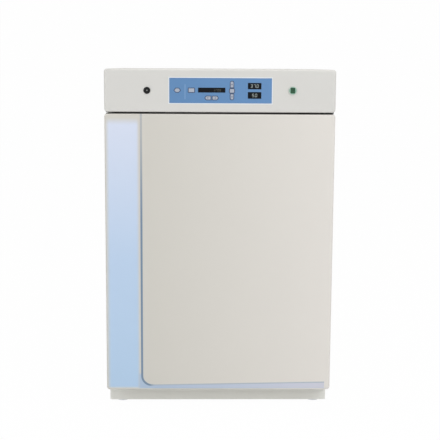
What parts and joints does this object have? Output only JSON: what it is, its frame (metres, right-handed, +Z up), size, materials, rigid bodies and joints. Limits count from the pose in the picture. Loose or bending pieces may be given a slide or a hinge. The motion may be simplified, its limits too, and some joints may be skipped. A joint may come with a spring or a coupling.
{
  "type": "carbon dioxide incubator",
  "caption": "Bench incubator with an insulated outer door, inner glass door, shelved steel chamber, air blower and a sliding control header.",
  "frame": {"origin": "middle of the footprint, on the floor under the feet", "axes": "+Z up, +X to the right seen from the front, +Y from the doors to the back"},
  "size_m": [0.66, 0.641, 1.003],
  "materials": {
    "cabinet_paint": "satin powder coat, light warm grey",
    "door_paint": "satin powder coat, warm light grey, with a pale blue band",
    "fascia_paint": "satin paint, light neutral grey",
    "plinth_paint": "satin powder coat, mid grey",
    "stainless": "brushed stainless steel",
    "polished_steel": "fine satin stainless steel",
    "zinc_steel": "bright zinc plate",
    "frame_plastic": "smooth moulded plastic",
    "foam": "rigid insulation foam",
    "heater_foil": "foil heater in film",
    "glass": "clear tempered glass",
    "silicone": "white silicone",
    "magnet_gasket": "soft grey gasket",
    "black_rubber": "black rubber",
    "black_plastic": "black moulded plastic",
    "grey_plastic": "pale grey moulded plastic",
    "white_plastic": "white moulded plastic",
    "overlay_blue": "printed blue membrane",
    "key_blue": "printed key dome",
    "green_lens": "lit green lens",
    "circuit_board": "green circuit board",
    "filter_media": "pleated white media",
    "bronze": "sintered bronze"
  },
  "bodies": {
    "cabinet": {"base_frame": "plinth_paint", "left_side_panel": "cabinet_paint", "right_side_panel": "cabinet_paint", "rear_panel": "zinc_steel", "top_cover": "cabinet_paint", "face_frame": "frame_plastic", "chamber_liner": "stainless", "chamber_heaters": "heater_foil", "jacket_insulation": "foam", "side_ducts": "stainless", "shelf_channels": "polished_steel", "top_duct": "stainless", "hepa_filter": "filter_media", "blower_scroll": "white_plastic", "blower_motor": "zinc_steel", "chamber_probes": "polished_steel", "door_hinge_brackets": "zinc_steel", "glass_gasket": "silicone", "glass_door_mounts": "polished_steel", "drawer_rails": "zinc_steel", "access_port": "white_plastic", "power_inlet": "black_plastic", "gas_inlet": "bronze"},
    "outer_door": {"door_skin": "door_paint", "door_inner_panel": "frame_plastic", "door_insulation": "foam", "door_gasket": "magnet_gasket", "door_bushes": "bronze"},
    "glass_door": {"glass_pane": "glass", "glass_hinge_clamps": "polished_steel"},
    "glass_door_latch": {"glass_latch": "black_plastic"},
    "header": {"header_fascia": "fascia_paint", "keypad_overlay": "overlay_blue", "display_board": "black_plastic", "switch_bezel": "grey_plastic", "sample_port": "black_plastic", "electronics_tray": "zinc_steel", "main_board": "circuit_board", "power_supply": "zinc_steel"},
    "blower": {"blower_shaft": "polished_steel", "blower_wheel": "white_plastic"},
    "pan": {"humidity_pan": "polished_steel"},
    "port_stopper": {"access_stopper": "silicone"},
    "rocker": {"power_rocker": "green_lens"},
    "port_cap": {"sample_port_cap": "black_rubber"},
    "shelf_1_body": {"shelf_1": "polished_steel"},
    "shelf_2_body": {"shelf_2": "polished_steel"},
    "shelf_3_body": {"shelf_3": "polished_steel"},
    "shelf_4_body": {"shelf_4": "polished_steel"},
    "levelling_foot_1_body": {"levelling_foot_1": "zinc_steel"},
    "levelling_foot_2_body": {"levelling_foot_2": "zinc_steel"},
    "levelling_foot_3_body": {"levelling_foot_3": "zinc_steel"},
    "levelling_foot_4_body": {"levelling_foot_4": "zinc_steel"},
    "silence_key_body": {"silence_key": "key_blue"},
    "mode_key_body": {"mode_key": "key_blue"},
    "left_key_body": {"left_key": "key_blue"},
    "right_key_body": {"right_key": "key_blue"},
    "up_key_body": {"up_key": "key_blue"},
    "enter_key_body": {"enter_key": "key_blue"},
    "down_key_body": {"down_key": "key_blue"}
  },
  "joints": [
    {"name": "outer_door_hinge", "type": "hinge", "parent": "cabinet", "child": "outer_door", "pos_m": [0.315, -0.2855, 0.4694], "axis": [0, 0, 1], "range_deg": [0, 150]},
    {"name": "glass_door_hinge", "type": "hinge", "parent": "cabinet", "child": "glass_door", "pos_m": [0.2895, -0.2365, 0.4694], "axis": [0, 0, 1], "range_deg": [0, 87]},
    {"name": "glass_latch_turn", "type": "hinge", "parent": "glass_door", "child": "glass_door_latch", "pos_m": [-0.258, -0.2348, 0.4694], "axis": [0, -1, 0], "range_deg": [0, 90]},
    {"name": "header_slide", "type": "slide", "parent": "cabinet", "child": "header", "axis": [0, -1, 0], "range_m": [0, 0.18]},
    {"name": "blower_spin", "type": "hinge", "parent": "cabinet", "child": "blower", "pos_m": [0, 0.0504, 0.7799], "axis": [0, 0, 1], "continuous": true},
    {"name": "pan_slide", "type": "slide", "parent": "cabinet", "child": "pan", "axis": [0, -1, 0], "range_m": [0, 0.014]},
    {"name": "port_stopper_pull", "type": "slide", "parent": "cabinet", "child": "port_stopper", "axis": [0, 1, 0], "range_m": [0, 0.045]},
    {"name": "power_rocker_tilt", "type": "hinge", "parent": "header", "child": "rocker", "pos_m": [0.2063, -0.3139, 0.9436], "axis": [-1, 0, 0], "range_deg": [0, 16]},
    {"name": "sample_port_cap_pull", "type": "slide", "parent": "header", "child": "port_cap", "axis": [0, -1, 0], "range_m": [0, 0.024]},
    {"name": "shelf_1_slide", "type": "slide", "parent": "cabinet", "child": "shelf_1_body", "axis": [0, -1, 0], "range_m": [0, 0.014]},
    {"name": "shelf_2_slide", "type": "slide", "parent": "cabinet", "child": "shelf_2_body", "axis": [0, -1, 0], "range_m": [0, 0.014]},
    {"name": "shelf_3_slide", "type": "slide", "parent": "cabinet", "child": "shelf_3_body", "axis": [0, -1, 0], "range_m": [0, 0.014]},
    {"name": "shelf_4_slide", "type": "slide", "parent": "cabinet", "child": "shelf_4_body", "axis": [0, -1, 0], "range_m": [0, 0.014]},
    {"name": "levelling_foot_1_screw", "type": "slide", "parent": "cabinet", "child": "levelling_foot_1_body", "axis": [0, 0, -1], "range_m": [0, 0.01]},
    {"name": "levelling_foot_2_screw", "type": "slide", "parent": "cabinet", "child": "levelling_foot_2_body", "axis": [0, 0, -1], "range_m": [0, 0.01]},
    {"name": "levelling_foot_3_screw", "type": "slide", "parent": "cabinet", "child": "levelling_foot_3_body", "axis": [0, 0, -1], "range_m": [0, 0.01]},
    {"name": "levelling_foot_4_screw", "type": "slide", "parent": "cabinet", "child": "levelling_foot_4_body", "axis": [0, 0, -1], "range_m": [0, 0.01]},
    {"name": "silence_key_press", "type": "slide", "parent": "header", "child": "silence_key_body", "axis": [0, 1, 0], "range_m": [0, 0.0005], "stiffness_N_per_m": 1500},
    {"name": "mode_key_press", "type": "slide", "parent": "header", "child": "mode_key_body", "axis": [0, 1, 0], "range_m": [0, 0.0005], "stiffness_N_per_m": 1500},
    {"name": "left_key_press", "type": "slide", "parent": "header", "child": "left_key_body", "axis": [0, 1, 0], "range_m": [0, 0.0005], "stiffness_N_per_m": 1500},
    {"name": "right_key_press", "type": "slide", "parent": "header", "child": "right_key_body", "axis": [0, 1, 0], "range_m": [0, 0.0005], "stiffness_N_per_m": 1500},
    {"name": "up_key_press", "type": "slide", "parent": "header", "child": "up_key_body", "axis": [0, 1, 0], "range_m": [0, 0.0005], "stiffness_N_per_m": 1500},
    {"name": "enter_key_press", "type": "slide", "parent": "header", "child": "enter_key_body", "axis": [0, 1, 0], "range_m": [0, 0.0005], "stiffness_N_per_m": 1500},
    {"name": "down_key_press", "type": "slide", "parent": "header", "child": "down_key_body", "axis": [0, 1, 0], "range_m": [0, 0.0005], "stiffness_N_per_m": 1500}
  ],
  "couplings": [
    {"joint": "glass_door_hinge", "follows": "outer_door_hinge", "ratio": 0.58}
  ]
}
